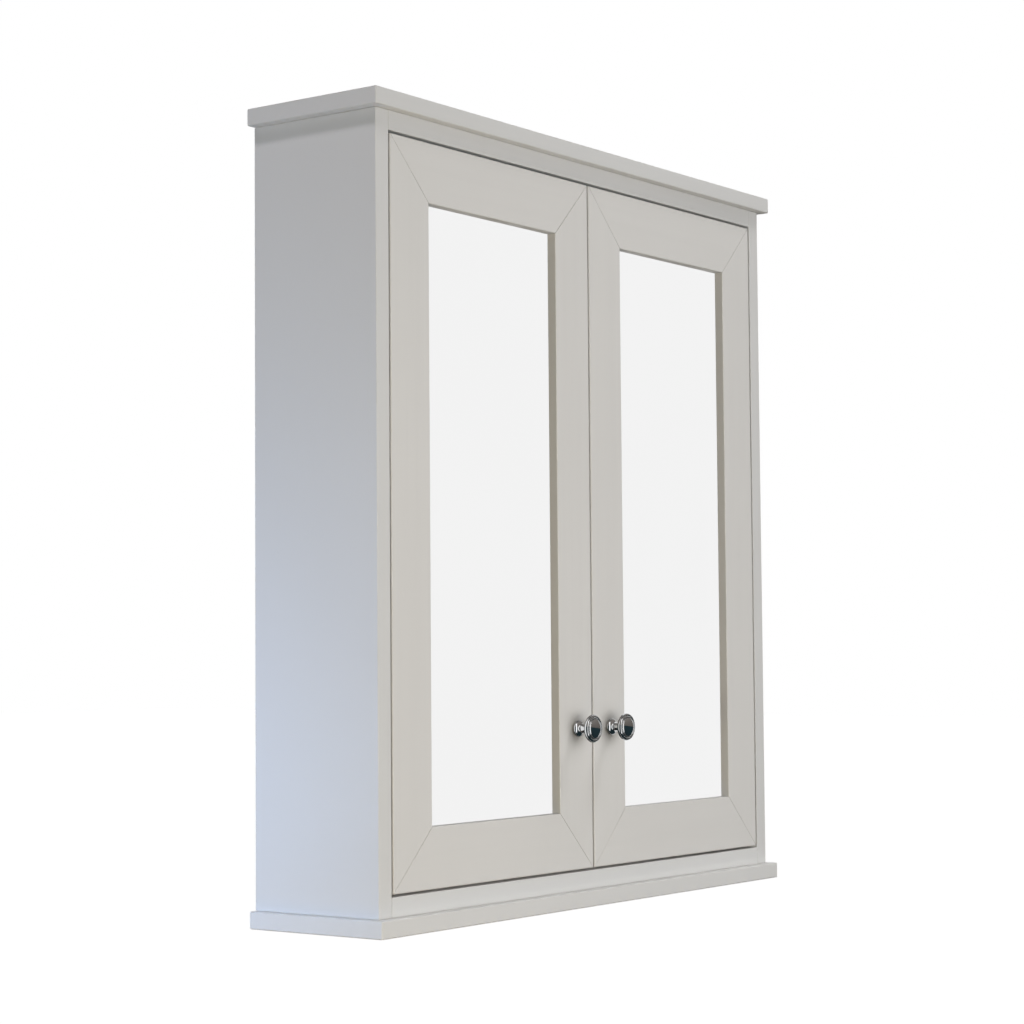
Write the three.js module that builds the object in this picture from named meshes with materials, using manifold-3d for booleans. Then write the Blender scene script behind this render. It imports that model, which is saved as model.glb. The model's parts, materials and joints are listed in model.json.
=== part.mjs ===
// A wall-hung bathroom cabinet with two inset mirror doors, as a three.js scene graph in millimetres.
// +X is the viewer's right, +Y points into the wall and +Z is up. The origin is the centre of the
// hanging rail's rear face, on the wall plane. Heights are worked out from the underside of the base
// board, and the whole cabinet is lowered by ORIGIN_HEIGHT at the end.

import * as THREE from "three";
import { mergeVertices } from "three/addons/utils/BufferGeometryUtils.js";
import Module from "manifold-3d";

const wasm = await Module();
wasm.setup();

// ---- Driving dimensions ----
const HEIGHT = 750;
const CARCASS_WIDTH = 666;
const CARCASS_DEPTH = 145;
const CAP_OVERHANG = { end: 10, front: 9 }; // past the side panels and past the front faces
const BASE_OVERHANG = { end: 8, front: 10 };
const EDGE_BOARD = 16; // thickness of the cap and base boards
const BOARD = 18; // thickness of the carcass boards, rails, shelves and door frames
const BACK_SHEET = 6;
const HANGING_RAIL_HEIGHT = 70;
const LOWER_RAIL_HEIGHT = 50;

const DOOR_GAP = 2; // all round each door and between the two
const FRAME_WIDTH = 56; // of the door's stiles and rails
const MITRE_RELIEF = 0.2; // taken off the end of each frame piece, along its length
const MIRROR_RECESS = 9.5; // from the door's front face to the mirror
const REBATE_WIDTH = 9;
const GLASS = 4;
const BACKING = 4;
const PANE_CLEARANCE = 1; // round the mirror and its backing in the rebate

const HINGE_INSET = 90; // from the door's ends to the hinge centres
const PIVOT_IN = 24; // hinge pin, from the side panel's inner face
const PIVOT_BACK = 8; // hinge pin, behind the front faces
const CUP_RADIUS = 17.5;
const CUP_EDGE = 5; // wood between the cup and the door's edge
const CUP_DEPTH = 13.5;
const CUP_WALL = 0.8;
const CUP_FLANGE = 1.5;
const HINGE_PIN_RADIUS = 1.2;
const EYE_BORE = 1.4;
const EYE_RADIUS = 2.2;
const ARM_HEIGHT = 12;
const NECK_ANGLE = 41.5; // degrees about the pin, where the arm leaves the cup
const NECK_THICKNESS = 2.6;
const CRANK_RADIUS = 25.2; // inner face of the crank, clear of the door's rear corner as it swings
const TAIL_THICKNESS = 6;
const ARM_LENGTH = 78; // from the front plane to the arm's rear end
const PLATE_THICKNESS = 7;

const KNOB_HEIGHT = 173.5; // above the underside of the base board
const KNOB_BORE = 2.2;
const KNOB_BORE_DEPTH = 8;

const SHELF_CLEARANCE = 1;
const SHELF_SETBACK = 38; // from the front plane, clear of the doors' hinge edges as they swing in
const PIN_HEIGHTS = { lower: 249, upper: 477 };
const PIN_DEPTHS = { front: 55, back: 105 };
const PIN_PITCH = 32;
const PIN_ROWS = [-2, -1, 0, 1, 2]; // spare holes above and below each shelf
const PIN_HOLE = 2.6;
const PIN_HOLE_DEPTH = 10;

const HANGER_X = 240;
const CLEARANCE = 0.3; // between pieces that fit into one another
const ROUND = 48; // segments round large circles
const SMALL_ROUND = 12; // segments round pin and screw holes

// ---- Places that follow from them ----
const HALF = CARCASS_WIDTH / 2;
const INNER = HALF - BOARD; // inner face of the side panel
const FRONT = -CARCASS_DEPTH;
const SHELL_BOTTOM = EDGE_BOARD;
const SHELL_TOP = HEIGHT - EDGE_BOARD;
const OPENING_BOTTOM = SHELL_BOTTOM + BOARD;
const OPENING_TOP = SHELL_TOP - BOARD;
const DOOR_BOTTOM = OPENING_BOTTOM + DOOR_GAP;
const DOOR_TOP = OPENING_TOP - DOOR_GAP;
const DOOR_OUTER = -INNER + DOOR_GAP; // hinge edge of the left door
const DOOR_INNER = -DOOR_GAP / 2; // meeting edge of the left door
const ORIGIN_HEIGHT = OPENING_TOP - HANGING_RAIL_HEIGHT / 2;
const CUP_CENTRE = DOOR_GAP + CUP_EDGE + CUP_RADIUS; // from the side panel's inner face
const HINGES = { lower: DOOR_BOTTOM + HINGE_INSET, upper: DOOR_TOP - HINGE_INSET };
const KNOB_X = DOOR_INNER - FRAME_WIDTH / 2;

const material = (color, roughness, metalness) =>
  new THREE.MeshStandardMaterial({ color, roughness, metalness });
const PAINT = material(0xd6d3cc, 0.45, 0);
const RAW_BOARD = material(0xb59a78, 0.8, 0);
const MIRROR = material(0xf2f4f4, 0.02, 1);
const CHROME = material(0xd8dadc, 0.08, 1);
const NICKEL = material(0xb8b9ba, 0.3, 1);
const ZINC = material(0xa9abab, 0.4, 1);
const PLASTIC = material(0xe9e7e2, 0.5, 0);
const FERRITE = material(0x3a3a3c, 0.6, 0);

const cabinet = new THREE.Group();

function place(group, name, geometry, finish) {
  const piece = new THREE.Mesh(geometry, finish);
  piece.name = name;
  group.add(piece);
}

// ---- Shapes ----
// A board between two corners.
function board(x0, x1, y0, y1, z0, z1) {
  const box = new THREE.BoxGeometry(x1 - x0, y1 - y0, z1 - z0);
  return box.translate((x0 + x1) / 2, (y0 + y1) / 2, (z0 + z1) / 2);
}

// A flat plate whose outline is drawn in X and Z, between the depths y0 and y1.
function plate(outline, y0, y1) {
  const sheet = new THREE.ExtrudeGeometry(outline, {
    depth: y1 - y0,
    bevelEnabled: false,
    curveSegments: SMALL_ROUND,
  });
  return sheet.rotateX(Math.PI / 2).translate(0, y1, 0);
}

// A piece whose outline is drawn in X and Y, centred on the height z.
function bar(outline, z, height) {
  const solid = new THREE.ExtrudeGeometry(outline, { depth: height, bevelEnabled: false });
  return solid.translate(0, 0, z - height / 2);
}

function polygon(points) {
  return new THREE.Shape(points.map(([a, b]) => new THREE.Vector2(a, b)));
}

// A turned piece about an axis along Y: each point is a radius and a depth along Y.
function turned(profile, segments = ROUND) {
  const points = profile.map(([r, y]) => new THREE.Vector2(r, y));
  return new THREE.LatheGeometry(points, segments);
}

function rodAlongY(radius, y0, y1, segments = ROUND) {
  const rod = new THREE.CylinderGeometry(radius, radius, y1 - y0, segments);
  return rod.translate(0, (y0 + y1) / 2, 0);
}

function rodAlongZ(radius, length, segments) {
  return new THREE.CylinderGeometry(radius, radius, length, segments).rotateX(Math.PI / 2);
}

// ---- Joining and cutting ----
function toSolid(geometry) {
  const bare = geometry.clone();
  bare.deleteAttribute("normal");
  bare.deleteAttribute("uv");
  const merged = mergeVertices(bare, 1e-4);
  const mesh = new wasm.Mesh({
    numProp: 3,
    vertProperties: merged.attributes.position.array,
    triVerts: new Uint32Array(merged.index.array),
  });
  return new wasm.Manifold(mesh);
}

function toGeometry(solid) {
  const mesh = solid.getMesh();
  const geometry = new THREE.BufferGeometry();
  geometry.setAttribute("position", new THREE.BufferAttribute(mesh.vertProperties, 3));
  geometry.setIndex(new THREE.BufferAttribute(mesh.triVerts, 1));
  return geometry;
}

function join(...geometries) {
  return toGeometry(geometries.map(toSolid).reduce((sum, next) => sum.add(next)));
}

function cut(geometry, ...tools) {
  return toGeometry(tools.map(toSolid).reduce((rest, tool) => rest.subtract(tool), toSolid(geometry)));
}

// ---- Carcass ----
function overhangingBoard(overhang, z0, z1) {
  const reach = HALF + overhang.end;
  return board(-reach, reach, FRONT - overhang.front, 0, z0, z1);
}

function addCarcass() {
  place(cabinet, "cap_board", overhangingBoard(CAP_OVERHANG, SHELL_TOP, HEIGHT), PAINT);
  place(cabinet, "base_board", overhangingBoard(BASE_OVERHANG, 0, SHELL_BOTTOM), PAINT);
  place(cabinet, "top_panel", board(-INNER, INNER, FRONT, 0, OPENING_TOP, SHELL_TOP), PAINT);
  place(cabinet, "bottom_panel", board(-INNER, INNER, FRONT, 0, SHELL_BOTTOM, OPENING_BOTTOM), PAINT);
  const sheetBack = -BOARD;
  const sheet = board(-INNER, INNER, sheetBack - BACK_SHEET, sheetBack, OPENING_BOTTOM, OPENING_TOP);
  place(cabinet, "back_panel", sheet, PAINT);
  const lowerRailTop = OPENING_BOTTOM + LOWER_RAIL_HEIGHT;
  const lowerRail = board(-INNER, INNER, -BOARD, 0, OPENING_BOTTOM, lowerRailTop);
  place(cabinet, "lower_rail", lowerRail, RAW_BOARD);
  addHangingRail();
}

// The hanging rail has a shallow seat for each hanger plate and a deeper pocket for the wall screw's head.
const HANGER = { width: 64, height: 40, thickness: 2 };
const POCKET = { width: 26, height: 30, depth: 12 };

function addHangingRail() {
  const rail = board(-INNER, INNER, -BOARD, 0, OPENING_TOP - HANGING_RAIL_HEIGHT, OPENING_TOP);
  const beyond = 1;
  const tools = [];
  for (const x of [-HANGER_X, HANGER_X]) {
    const halfWidth = HANGER.width / 2 + CLEARANCE;
    const halfHeight = HANGER.height / 2 + CLEARANCE;
    const seat = HANGER.thickness + CLEARANCE;
    tools.push(board(
      x - halfWidth, x + halfWidth, -seat, beyond,
      ORIGIN_HEIGHT - halfHeight, ORIGIN_HEIGHT + halfHeight,
    ));
    tools.push(board(
      x - POCKET.width / 2, x + POCKET.width / 2, -POCKET.depth, beyond,
      ORIGIN_HEIGHT - POCKET.height / 2, ORIGIN_HEIGHT + POCKET.height / 2,
    ));
  }
  place(cabinet, "hanging_rail", cut(rail, ...tools), RAW_BOARD);
}

// A side panel with blind holes for the shelf pins in its inner face. It is drawn for the left side.
function sidePanel() {
  const tools = [];
  for (const height of Object.values(PIN_HEIGHTS)) {
    for (const depth of Object.values(PIN_DEPTHS)) {
      for (const row of PIN_ROWS) {
        const hole = rodAlongY(PIN_HOLE, -1, PIN_HOLE_DEPTH, SMALL_ROUND);
        hole.rotateZ(Math.PI / 2);
        tools.push(hole.translate(-INNER, FRONT + depth, height + row * PIN_PITCH));
      }
    }
  }
  return cut(board(-HALF, -INNER, FRONT, 0, SHELL_BOTTOM, SHELL_TOP), ...tools);
}

// ---- Shelves ----
const PIN = { shank: 2.4, shankLength: 9, collar: 3.5, collarThickness: 1, peg: 3, pegLength: 8 };
const PIN_TO_SHELF = PIN.peg + 0.1;

function shelfPin() {
  const pegEnd = PIN.collarThickness + PIN.pegLength;
  const pin = turned([
    [0, -PIN.shankLength],
    [PIN.shank, -PIN.shankLength],
    [PIN.shank, 0],
    [PIN.collar, 0],
    [PIN.collar, PIN.collarThickness],
    [PIN.peg, PIN.collarThickness],
    [PIN.peg, pegEnd],
    [0, pegEnd],
  ], SMALL_ROUND);
  return pin.rotateZ(-Math.PI / 2);
}

function addShelves() {
  const end = INNER - SHELF_CLEARANCE;
  const rear = -BOARD - BACK_SHEET - SHELF_CLEARANCE;
  for (const [level, height] of Object.entries(PIN_HEIGHTS)) {
    const under = height + PIN_TO_SHELF;
    const shelf = board(-end, end, FRONT + SHELF_SETBACK, rear, under, under + BOARD);
    place(cabinet, `shelf_${level}`, shelf, PAINT);
  }
}

// ---- Door frame, drawn for the left door ----
// One mitred piece. It runs from a to b along its outer edge, and "at" places a point of it, given as
// a distance along the piece and a distance in from the outer edge.
function framePiece(a, b, at) {
  const layer = (width, y0, y1) => {
    const corners = [
      at(a + MITRE_RELIEF, 0),
      at(b - MITRE_RELIEF, 0),
      at(b - MITRE_RELIEF - width, width),
      at(a + MITRE_RELIEF + width, width),
    ];
    return plate(polygon(corners), y0, y1);
  };
  const lip = layer(FRAME_WIDTH, FRONT, FRONT + MIRROR_RECESS);
  const web = layer(FRAME_WIDTH - REBATE_WIDTH, FRONT, FRONT + BOARD);
  return join(lip, web);
}

function hingeStile() {
  const stile = framePiece(DOOR_BOTTOM, DOOR_TOP, (along, inward) => [DOOR_OUTER + inward, along]);
  const bores = Object.values(HINGES).map((z) => {
    const bore = rodAlongY(CUP_RADIUS, FRONT + BOARD - CUP_DEPTH, FRONT + BOARD + 1);
    return bore.translate(-INNER + CUP_CENTRE, 0, z);
  });
  return cut(stile, ...bores);
}

function lockStile() {
  const stile = framePiece(DOOR_BOTTOM, DOOR_TOP, (along, inward) => [DOOR_INNER - inward, along]);
  const bore = rodAlongY(KNOB_BORE + CLEARANCE, FRONT - 1, FRONT + BOARD + 1, SMALL_ROUND);
  return cut(stile, bore.translate(KNOB_X, 0, KNOB_HEIGHT));
}

function pane(y0, y1) {
  const inset = FRAME_WIDTH - REBATE_WIDTH + PANE_CLEARANCE;
  return board(DOOR_OUTER + inset, DOOR_INNER - inset, y0, y1, DOOR_BOTTOM + inset, DOOR_TOP - inset);
}

// ---- Hinge, drawn for the left side ----
// One pin stands across the cup, through the eye of an arm that is fixed to the side panel. The arm's
// crank keeps outside the circle that the door's rear corner sweeps about the pin.
const PIVOT_X = -INNER + PIVOT_IN;
const PIVOT_Y = FRONT + PIVOT_BACK;

// A point about the pin, from a radius and an angle in degrees turned from +X towards +Y.
function about(radius, degrees) {
  const turn = THREE.MathUtils.degToRad(degrees);
  return [PIVOT_X + radius * Math.cos(turn), PIVOT_Y + radius * Math.sin(turn)];
}

function arcPoints(radius, from, to, steps) {
  return Array.from({ length: steps + 1 }, (_, i) => about(radius, from + ((to - from) * i) / steps));
}

// The angle at which a circle about the pin meets a line that runs along Y at x.
function angleAtX(radius, x) {
  return THREE.MathUtils.radToDeg(Math.acos((x - PIVOT_X) / radius));
}

function hingeCup(z) {
  const back = FRONT + BOARD;
  const bottom = back - CUP_DEPTH + CLEARANCE;
  const outer = CUP_RADIUS - CLEARANCE;
  const inner = outer - CUP_WALL;
  const rim = CUP_RADIUS + 1.5;
  const centreX = -INNER + CUP_CENTRE;
  const cup = turned([
    [0, bottom],
    [outer, bottom],
    [outer, back],
    [rim, back],
    [rim, back + CUP_FLANGE],
    [inner, back + CUP_FLANGE],
    [inner, bottom + CUP_WALL],
    [0, bottom + CUP_WALL],
  ]);
  const wing = { x0: -6, x1: 14.5, z: 30, screwX: 9.5, screwZ: 24, screw: 2.1 };
  const wings = board(wing.x0, wing.x1, back, back + CUP_FLANGE, -wing.z, wing.z);
  const mouth = rodAlongY(inner, bottom + CUP_WALL, back + CUP_FLANGE + 1);
  const screwHoles = [-wing.screwZ, wing.screwZ].map((height) =>
    rodAlongY(wing.screw, back - 1, back + CUP_FLANGE + 1, SMALL_ROUND).translate(wing.screwX, 0, height));
  const pinHole = rodAlongZ(HINGE_PIN_RADIUS + CLEARANCE, 2 * CUP_RADIUS + 2, SMALL_ROUND);
  pinHole.translate(PIVOT_X - centreX, PIVOT_Y, 0);
  return cut(join(cup, wings), mouth, pinHole, ...screwHoles).translate(centreX, 0, z);
}

function hingePin(z) {
  const length = 2 * (CUP_RADIUS - 2 * CLEARANCE);
  return rodAlongZ(HINGE_PIN_RADIUS, length, SMALL_ROUND).translate(PIVOT_X, PIVOT_Y, z);
}

// The arm runs from the eye out of the cup, round the crank and back along its mounting plate.
function hingeArm(z) {
  const outer = CRANK_RADIUS + NECK_THICKNESS;
  const neckHalf = (radius) => THREE.MathUtils.radToDeg(Math.asin(NECK_THICKNESS / 2 / radius));
  const tailNear = -INNER + PLATE_THICKNESS;
  const tailFar = tailNear + TAIL_THICKNESS;
  const outline = [
    about(EYE_RADIUS, NECK_ANGLE - neckHalf(EYE_RADIUS)),
    ...arcPoints(outer, NECK_ANGLE - neckHalf(outer), angleAtX(outer, tailFar), 12),
    [tailFar, FRONT + ARM_LENGTH],
    [tailNear, FRONT + ARM_LENGTH],
    ...arcPoints(CRANK_RADIUS, angleAtX(CRANK_RADIUS, tailNear), NECK_ANGLE + neckHalf(CRANK_RADIUS), 12),
    about(EYE_RADIUS, NECK_ANGLE + neckHalf(EYE_RADIUS)),
  ];
  const eye = rodAlongZ(EYE_RADIUS, ARM_HEIGHT, ROUND / 2).translate(PIVOT_X, PIVOT_Y, z);
  const bore = rodAlongZ(EYE_BORE, ARM_HEIGHT + 2, SMALL_ROUND).translate(PIVOT_X, PIVOT_Y, z);
  return cut(join(bar(polygon(outline), z, ARM_HEIGHT), eye), bore);
}

function hingePlate(z) {
  const body = board(-INNER, -INNER + PLATE_THICKNESS, FRONT + 38, FRONT + 74, z - 8, z + 8);
  const wing = { y0: 50, y1: 62, half: 25, thickness: 2.5, screwZ: 16, screw: 2.5 };
  const wings = board(
    -INNER, -INNER + wing.thickness, FRONT + wing.y0, FRONT + wing.y1, z - wing.half, z + wing.half,
  );
  const screwHoles = [-wing.screwZ, wing.screwZ].map((offset) => {
    const hole = rodAlongY(wing.screw, -1, wing.thickness + 1, SMALL_ROUND).rotateZ(-Math.PI / 2);
    return hole.translate(-INNER, FRONT + (wing.y0 + wing.y1) / 2, z + offset);
  });
  return cut(join(body, wings), ...screwHoles);
}

// ---- Knob, drawn for the left door: radii and distances out from the door's face ----
function knob() {
  const foot = [
    [0, KNOB_BORE_DEPTH],
    [KNOB_BORE, KNOB_BORE_DEPTH],
    [KNOB_BORE, 0],
    [3.2, 0],
    [3.2, 2.6],
  ];
  const collar = [
    [7.7, 2.6],
    [8, 3],
    [8, 4],
    [7.2, 5.1],
    [5, 6.4],
  ];
  const stem = [
    [4, 8.2],
    [3.8, 11.1],
    [4.4, 14.1],
    [7, 16.2],
  ];
  const head = [
    [11.2, 17.4],
    [12.9, 18.4],
    [13.5, 20],
    [13.2, 21.8],
    [12.1, 23],
    [10.8, 23.2],
    [10.1, 22.7],
    [9.6, 23.5],
    [6.8, 24.8],
    [3.4, 25.4],
    [0, 25.6],
  ];
  const profile = [...foot, ...collar, ...stem, ...head];
  const body = turned(profile.map(([r, out]) => [r, -out]).reverse(), 32);
  return body.translate(KNOB_X, FRONT, KNOB_HEIGHT);
}

function knobScrew() {
  const head = FRONT + BOARD;
  const screw = turned([
    [0, FRONT - 6],
    [2, FRONT - 6],
    [2, head],
    [4, head],
    [4, head + 1.6],
    [3, head + 2.2],
    [0, head + 2.2],
  ], SMALL_ROUND);
  return screw.translate(KNOB_X, 0, KNOB_HEIGHT);
}

// ---- Magnetic catch under the top panel, with a strike plate on the back of each door ----
const CATCH = { half: 26, front: 20, back: 34, height: 14 };
const CATCH_CENTRE = 15; // middle of each magnet and strike plate, from the middle of the cabinet
const MAGNET = { half: 8, front: 19.3, back: 30, z0: 4, z1: 10 }; // z down from the top panel
const STRIKE = { half: 10, thickness: 1, z0: 4, z1: 14 };

// The block of a magnet centred on x, grown by a clearance for its pocket.
function magnetBlock(x, clearance) {
  return board(
    x - MAGNET.half - clearance,
    x + MAGNET.half + clearance,
    FRONT + MAGNET.front,
    FRONT + MAGNET.back + clearance,
    OPENING_TOP - MAGNET.z1 - clearance,
    OPENING_TOP - MAGNET.z0 + clearance,
  );
}

function addCatchHousing() {
  const { half, front, back, height } = CATCH;
  const housing = board(-half, half, FRONT + front, FRONT + back, OPENING_TOP - height, OPENING_TOP);
  const pockets = [-CATCH_CENTRE, CATCH_CENTRE].map((x) => magnetBlock(x, CLEARANCE));
  place(cabinet, "catch_housing", cut(housing, ...pockets), PLASTIC);
}

function strikePlate() {
  const back = FRONT + BOARD;
  const { half, thickness, z0, z1 } = STRIKE;
  return board(
    -CATCH_CENTRE - half, -CATCH_CENTRE + half, back, back + thickness,
    OPENING_TOP - z1, OPENING_TOP - z0,
  );
}

// ---- Keyhole hanger plate ----
function hangerPlate() {
  const { width, height, thickness } = HANGER;
  const outline = polygon([
    [-width / 2, -height / 2],
    [width / 2, -height / 2],
    [width / 2, height / 2],
    [-width / 2, height / 2],
  ]);
  const key = { entry: 5.5, entryZ: -5, slot: 2.8, slotTop: 9 };
  const shoulder = Math.acos(key.slot / key.entry);
  const keyhole = new THREE.Path();
  keyhole.absarc(0, key.entryZ, key.entry, shoulder, Math.PI - shoulder, true);
  keyhole.lineTo(-key.slot, key.slotTop);
  keyhole.absarc(0, key.slotTop, key.slot, Math.PI, 0, true);
  outline.holes.push(keyhole);
  for (const x of [-25, 25]) {
    const screwHole = new THREE.Path();
    screwHole.absarc(x, 0, 2.2, 0, Math.PI * 2, true);
    outline.holes.push(screwHole);
  }
  return plate(outline, -CLEARANCE - thickness, -CLEARANCE).translate(-HANGER_X, 0, ORIGIN_HEIGHT);
}

// ---- Everything that comes in a left and a right hand ----
function addSide(side) {
  const group = new THREE.Group();
  group.scale.x = side === "left" ? 1 : -1;
  cabinet.add(group);
  place(group, `side_panel_${side}`, sidePanel(), PAINT);
  place(group, `wall_hanger_${side}`, hangerPlate(), ZINC);
  place(group, `catch_magnet_${side}`, magnetBlock(-CATCH_CENTRE, 0), FERRITE);
  for (const [level, height] of Object.entries(PIN_HEIGHTS)) {
    for (const [row, depth] of Object.entries(PIN_DEPTHS)) {
      const pin = shelfPin().translate(-INNER, FRONT + depth, height);
      place(group, `shelf_pin_${level}_${side}_${row}`, pin, NICKEL);
    }
  }

  place(group, `hinge_stile_${side}`, hingeStile(), PAINT);
  place(group, `lock_stile_${side}`, lockStile(), PAINT);
  const topRail = framePiece(DOOR_OUTER, DOOR_INNER, (along, inward) => [along, DOOR_TOP - inward]);
  const bottomRail = framePiece(DOOR_OUTER, DOOR_INNER, (along, inward) => [along, DOOR_BOTTOM + inward]);
  place(group, `top_rail_${side}`, topRail, PAINT);
  place(group, `bottom_rail_${side}`, bottomRail, PAINT);
  const glassFront = FRONT + MIRROR_RECESS;
  const glassBack = glassFront + GLASS;
  place(group, `mirror_${side}`, pane(glassFront, glassBack), MIRROR);
  place(group, `mirror_backing_${side}`, pane(glassBack, glassBack + BACKING), PAINT);
  place(group, `knob_${side}`, knob(), CHROME);
  place(group, `knob_screw_${side}`, knobScrew(), ZINC);
  place(group, `strike_plate_${side}`, strikePlate(), ZINC);

  for (const [level, z] of Object.entries(HINGES)) {
    place(group, `hinge_cup_${side}_${level}`, hingeCup(z), NICKEL);
    place(group, `hinge_pin_${side}_${level}`, hingePin(z), NICKEL);
    place(group, `hinge_arm_${side}_${level}`, hingeArm(z), NICKEL);
    place(group, `hinge_plate_${side}_${level}`, hingePlate(z), NICKEL);
  }
}

addCarcass();
addShelves();
addCatchHousing();
addSide("left");
addSide("right");
cabinet.position.z = -ORIGIN_HEIGHT;

export default cabinet;
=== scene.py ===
# The looks of a wall-hung bathroom cabinet with two inset mirror doors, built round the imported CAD
# frame. Metres, in the frame's own axes: +X to the viewer's right, +Y into the wall, +Z up.
import json
import math

import bmesh
import bpy
from mathutils import Matrix, Vector

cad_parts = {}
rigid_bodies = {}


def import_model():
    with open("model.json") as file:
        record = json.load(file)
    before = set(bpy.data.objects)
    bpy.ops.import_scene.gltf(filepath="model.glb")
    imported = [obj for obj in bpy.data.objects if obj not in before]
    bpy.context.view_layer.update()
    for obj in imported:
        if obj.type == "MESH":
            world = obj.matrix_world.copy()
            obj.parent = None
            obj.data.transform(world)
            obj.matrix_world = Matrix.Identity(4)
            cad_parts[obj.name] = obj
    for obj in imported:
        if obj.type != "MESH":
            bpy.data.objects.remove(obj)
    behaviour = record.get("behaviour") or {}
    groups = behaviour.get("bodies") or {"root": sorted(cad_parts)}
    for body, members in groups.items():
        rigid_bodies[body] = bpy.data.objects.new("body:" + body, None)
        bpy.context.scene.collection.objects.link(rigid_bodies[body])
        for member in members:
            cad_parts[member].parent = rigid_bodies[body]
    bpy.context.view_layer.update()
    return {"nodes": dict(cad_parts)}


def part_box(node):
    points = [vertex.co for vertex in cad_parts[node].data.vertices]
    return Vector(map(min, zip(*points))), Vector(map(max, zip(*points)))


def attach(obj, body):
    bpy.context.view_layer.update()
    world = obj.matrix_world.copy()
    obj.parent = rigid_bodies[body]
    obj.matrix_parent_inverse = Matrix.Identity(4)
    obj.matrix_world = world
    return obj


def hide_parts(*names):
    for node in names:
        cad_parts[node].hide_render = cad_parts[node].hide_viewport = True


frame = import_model()
scene = bpy.context.scene

MM = 0.001
SHARP = 32.0  # degrees between faces at which an edge is shaded sharp
SIDES = ("left", "right")
LEVELS = ("lower", "upper")

# ---------------------------------------------------------------- materials
AXIS_STRETCH = {"x": (0.03, 1.0, 1.0), "y": (1.0, 0.03, 1.0), "z": (1.0, 1.0, 0.03)}


class Surface:
    """One Principled material, with short calls that add the nodes of its pattern."""

    def __init__(self, name, base, roughness, metallic=0.0, specular=0.5):
        self.material = bpy.data.materials.new(name)
        self.material.use_nodes = True
        self.nodes = self.material.node_tree.nodes
        self.links = self.material.node_tree.links
        self.shader = self.nodes["Principled BSDF"]
        self.shader.inputs["Base Color"].default_value = (*base, 1.0)
        self.shader.inputs["Roughness"].default_value = roughness
        self.shader.inputs["Metallic"].default_value = metallic
        self.shader.inputs["Specular IOR Level"].default_value = specular
        self.place = self.nodes.new("ShaderNodeTexCoord").outputs["Object"]

    def put(self, value, socket):
        if isinstance(value, bpy.types.NodeSocket):
            self.links.new(value, socket)
        elif value is not None:
            socket.default_value = value

    def stretched(self, stretch):
        mapping = self.nodes.new("ShaderNodeMapping")
        mapping.inputs["Scale"].default_value = stretch
        self.links.new(self.place, mapping.inputs["Vector"])
        return mapping.outputs["Vector"]

    def noise(self, scale, detail=3.0, rough=0.5, stretch=None, warp=0.0):
        node = self.nodes.new("ShaderNodeTexNoise")
        node.inputs["Scale"].default_value = scale
        node.inputs["Detail"].default_value = detail
        node.inputs["Roughness"].default_value = rough
        node.inputs["Distortion"].default_value = warp
        self.links.new(self.stretched(stretch) if stretch else self.place, node.inputs["Vector"])
        return node.outputs["Fac"]

    def cells(self, scale, feature="F1", output="Color", stretch=None):
        node = self.nodes.new("ShaderNodeTexVoronoi")
        node.feature = feature
        node.inputs["Scale"].default_value = scale
        self.links.new(self.stretched(stretch) if stretch else self.place, node.inputs["Vector"])
        return node.outputs[output]

    def wave(self, scale, direction):
        node = self.nodes.new("ShaderNodeTexWave")
        node.bands_direction = direction
        node.inputs["Scale"].default_value = scale
        self.links.new(self.place, node.inputs["Vector"])
        return node.outputs["Fac"]

    def attribute(self, name):
        node = self.nodes.new("ShaderNodeAttribute")
        node.attribute_name = name
        return node.outputs["Fac"]

    def maths(self, operation, a, b=None):
        node = self.nodes.new("ShaderNodeMath")
        node.operation = operation
        self.put(a, node.inputs[0])
        self.put(b, node.inputs[1])
        return node.outputs[0]

    def spread(self, value, low, high, to_low=0.0, to_high=1.0):
        node = self.nodes.new("ShaderNodeMapRange")
        node.interpolation_type = "SMOOTHSTEP"
        self.put(value, node.inputs["Value"])
        node.inputs["From Min"].default_value = low
        node.inputs["From Max"].default_value = high
        node.inputs["To Min"].default_value = to_low
        node.inputs["To Max"].default_value = to_high
        return node.outputs["Result"]

    def blend(self, amount, a, b):
        node = self.nodes.new("ShaderNodeMix")
        node.data_type = "RGBA"
        self.put(amount, node.inputs["Factor"])
        self.put((*a, 1.0) if isinstance(a, tuple) else a, node.inputs["A"])
        self.put((*b, 1.0) if isinstance(b, tuple) else b, node.inputs["B"])
        return node.outputs["Result"]

    def colour(self, value):
        self.links.new(value, self.shader.inputs["Base Color"])

    def roughness(self, value):
        self.links.new(value, self.shader.inputs["Roughness"])

    def bumps(self, *layers):
        """Each layer is a height from 0 to 1 and its depth in metres."""
        normal = None
        for height, depth in layers:
            node = self.nodes.new("ShaderNodeBump")
            node.inputs["Strength"].default_value = 1.0
            node.inputs["Distance"].default_value = depth
            self.links.new(height, node.inputs["Height"])
            if normal:
                self.links.new(normal, node.inputs["Normal"])
            normal = node.outputs["Normal"]
        self.links.new(normal, self.shader.inputs["Normal"])
        return self


def scaled(colour, factor):
    return tuple(c * factor for c in colour)


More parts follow.
